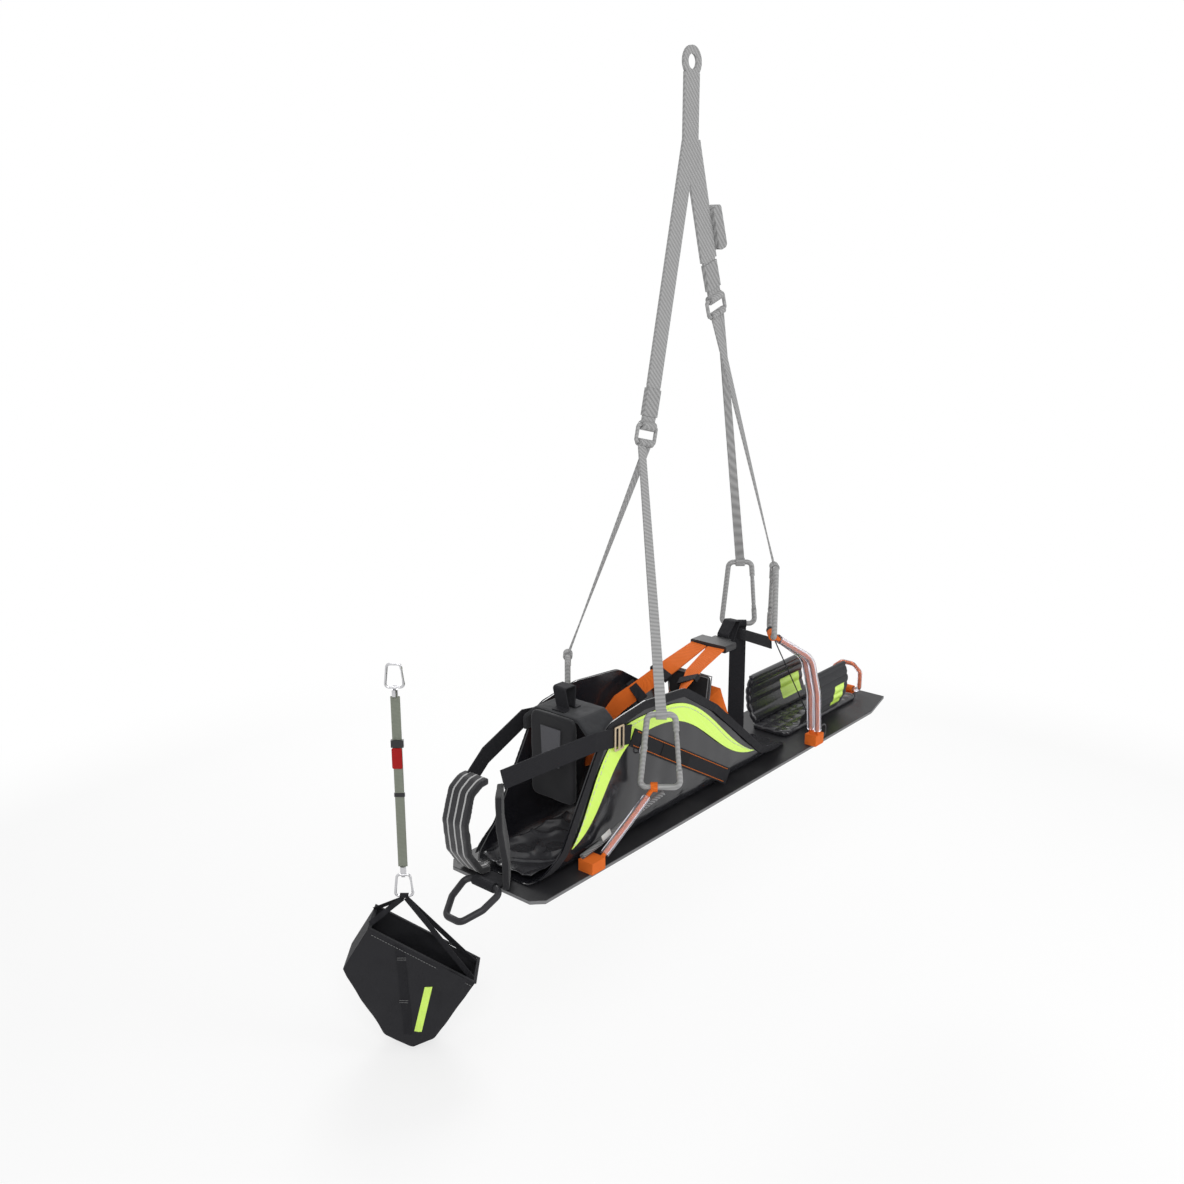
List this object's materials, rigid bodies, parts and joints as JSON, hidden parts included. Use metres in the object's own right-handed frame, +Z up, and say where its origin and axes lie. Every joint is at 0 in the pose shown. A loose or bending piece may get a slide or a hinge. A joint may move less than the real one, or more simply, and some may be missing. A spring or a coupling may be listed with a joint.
{
  "type": "rescue stretcher",
  "caption": "Narrow board stretcher with a padded open-ended wrap, harness and leg wraps, hung from a four-leg lifting bridle, with a foot bag on its own swivel lanyard.",
  "frame": {"origin": "middle of the lifting eye at the top of the bridle", "axes": "+X from the head end to the foot end of the board, +Y to the far side, +Z up"},
  "size_m": [1.6935, 0.8991, 2.4685],
  "materials": {
    "board": "black polyethylene sheet, lighter sawn edge",
    "tarpaulin": "glossy black PVC tarpaulin",
    "binding": "ribbed black binding tape",
    "reflective": "yellow-green prismatic reflective tape",
    "quilt": "glossy quilted black cloth",
    "textile": "charcoal textile",
    "velour": "black velour padding",
    "black_webbing": "black woven webbing",
    "champagne_metal": "champagne brushed metal",
    "steel": "polished steel",
    "orange_webbing": "orange woven webbing",
    "black_plastic": "black moulded plastic",
    "grey_webbing": "grey woven webbing",
    "grey_metal": "grey anodised metal",
    "grey_cover": "grey stitched cover",
    "clear_hose": "clear, slightly violet PVC hose",
    "woven_cord": "black and white woven tubular sling",
    "drag_sleeve": "black sleeve",
    "lanyard_webbing": "grey-sage webbing",
    "red_tab": "red webbing",
    "bag_cloth": "black coated cloth"
  },
  "bodies": {
    "root": {"base_board": "board", "wrap_shell": "tarpaulin", "wrap_binding": "binding", "reflective_arches": "reflective", "foot_pad": "quilt", "head_cap": "textile", "head_loop": "black_webbing", "shoulder_pad_far": "velour", "shoulder_pad_near": "velour", "shoulder_straps": "black_webbing", "slide_buckles": "champagne_metal", "side_straps": "black_webbing", "strap_ring": "steel", "chest_straps": "orange_webbing", "strap_keepers": "black_webbing", "pelvic_plate": "velour", "hip_strap": "orange_webbing", "buckle_socket": "black_plastic", "bridle_fork": "grey_webbing", "bridle_links": "grey_metal", "lower_legs": "grey_webbing", "bridle_cuffs": "grey_cover", "bridle_pouch": "grey_cover", "head_sling_core": "orange_webbing", "head_sling_hose": "clear_hose", "woven_sling": "woven_cord", "foot_sling_cores": "orange_webbing", "foot_sling_hoses": "clear_hose", "foot_straps": "black_webbing", "d_ring": "black_plastic", "drag_base": "black_webbing", "handle_base": "orange_webbing", "swivel_top": "steel", "lanyard_carabiner_top": "steel", "carabiner_head_near": "grey_metal", "carabiner_head_far": "grey_metal", "carabiner_foot_near": "grey_metal", "carabiner_foot_far": "grey_metal"},
    "gate_head_near": {"gate_head_near": "grey_metal"},
    "gate_head_far": {"gate_head_far": "grey_metal"},
    "gate_foot_near": {"gate_foot_near": "grey_metal"},
    "gate_foot_far": {"gate_foot_far": "grey_metal"},
    "lanyard": {"lanyard_strap": "lanyard_webbing", "lanyard_fittings": "black_plastic", "pull_tab": "red_tab"},
    "low_fitting": {"swivel_low": "steel", "lanyard_carabiner_low": "steel", "foot_bag": "bag_cloth", "bag_straps": "black_webbing", "bag_rim_binding": "binding"},
    "lanyard_gate_top": {"lanyard_gate_top": "steel"},
    "lanyard_gate_low": {"lanyard_gate_low": "steel"},
    "leg_wrap_near": {"leg_wrap_near": "textile"},
    "leg_wrap_far": {"leg_wrap_far": "quilt"},
    "drag_loop": {"drag_loop": "drag_sleeve"},
    "foot_handle": {"foot_handle": "clear_hose"},
    "head_panel": {"head_panel": "velour"},
    "buckle_clip": {"buckle_clip": "black_plastic", "top_loops": "black_webbing"}
  },
  "joints": [
    {"name": "gate_head_near_hinge", "type": "hinge", "parent": "root", "child": "gate_head_near", "pos_m": [-0.25815, -0.19166, -1.5123], "axis": [-0.7627, -0.6468, 0], "range_deg": [0, 25], "stiffness_Nm_per_rad": 0.25, "springref_deg": -20.05},
    {"name": "gate_head_far_hinge", "type": "hinge", "parent": "root", "child": "gate_head_far", "pos_m": [-0.21134, 0.18085, -1.4523], "axis": [0.6468, -0.7627, 0], "range_deg": [0, 25], "stiffness_Nm_per_rad": 0.25, "springref_deg": -20.05},
    {"name": "gate_foot_near_hinge", "type": "hinge", "parent": "root", "child": "gate_foot_near", "pos_m": [0.28066, -0.08115, -1.2883], "axis": [0.6468, -0.7627, 0], "range_deg": [0, 25], "stiffness_Nm_per_rad": 0.25, "springref_deg": -20.05},
    {"name": "gate_foot_far_hinge", "type": "hinge", "parent": "root", "child": "gate_foot_far", "pos_m": [0.44385, 0.07334, -1.3443], "axis": [-0.7627, -0.6468, 0], "range_deg": [0, 25], "stiffness_Nm_per_rad": 0.25, "springref_deg": -20.05},
    {"name": "lanyard_swivel_top", "type": "hinge", "parent": "root", "child": "lanyard", "pos_m": [-0.458, 0.54, -1.47], "axis": [0, 0, 1], "continuous": true},
    {"name": "lanyard_swivel_low", "type": "hinge", "parent": "lanyard", "child": "low_fitting", "pos_m": [-0.458, 0.54, -1.94], "axis": [0, 0, 1], "continuous": true},
    {"name": "lanyard_gate_top_hinge", "type": "hinge", "parent": "root", "child": "lanyard_gate_top", "pos_m": [-0.44395, 0.52343, -1.42314], "axis": [-0.7627, -0.6468, 0], "range_deg": [0, 25], "stiffness_Nm_per_rad": 0.06, "springref_deg": -20.05},
    {"name": "lanyard_gate_low_hinge", "type": "hinge", "parent": "low_fitting", "child": "lanyard_gate_low", "pos_m": [-0.44395, 0.52343, -2.00314], "axis": [-0.7627, -0.6468, 0], "range_deg": [0, 25], "stiffness_Nm_per_rad": 0.06, "springref_deg": -20.05},
    {"name": "leg_wrap_near_fold", "type": "hinge", "parent": "root", "child": "leg_wrap_near", "pos_m": [0.617, -0.052, -1.6796], "axis": [-1, 0, 0], "range_deg": [-15, 20]},
    {"name": "leg_wrap_far_fold", "type": "hinge", "parent": "root", "child": "leg_wrap_far", "pos_m": [0.576, 0.052, -1.6796], "axis": [1, 0, 0], "range_deg": [-15, 20]},
    {"name": "drag_loop_swing", "type": "hinge", "parent": "root", "child": "drag_loop", "pos_m": [-0.689, 0, -1.694], "axis": [0, 1, 0], "range_deg": [-20, 30]},
    {"name": "foot_handle_swing", "type": "hinge", "parent": "root", "child": "foot_handle", "pos_m": [0.867, 0, -1.688], "axis": [0, 1, 0], "range_deg": [-45, 60]},
    {"name": "head_panel_swing", "type": "hinge", "parent": "root", "child": "head_panel", "pos_m": [-0.4594, 0, -1.3736], "axis": [0, 1, 0], "range_deg": [0, 30]},
    {"name": "buckle_clip_slide", "type": "slide", "parent": "root", "child": "buckle_clip", "axis": [1, 0, 0], "range_m": [0, 0.022]}
  ]
}
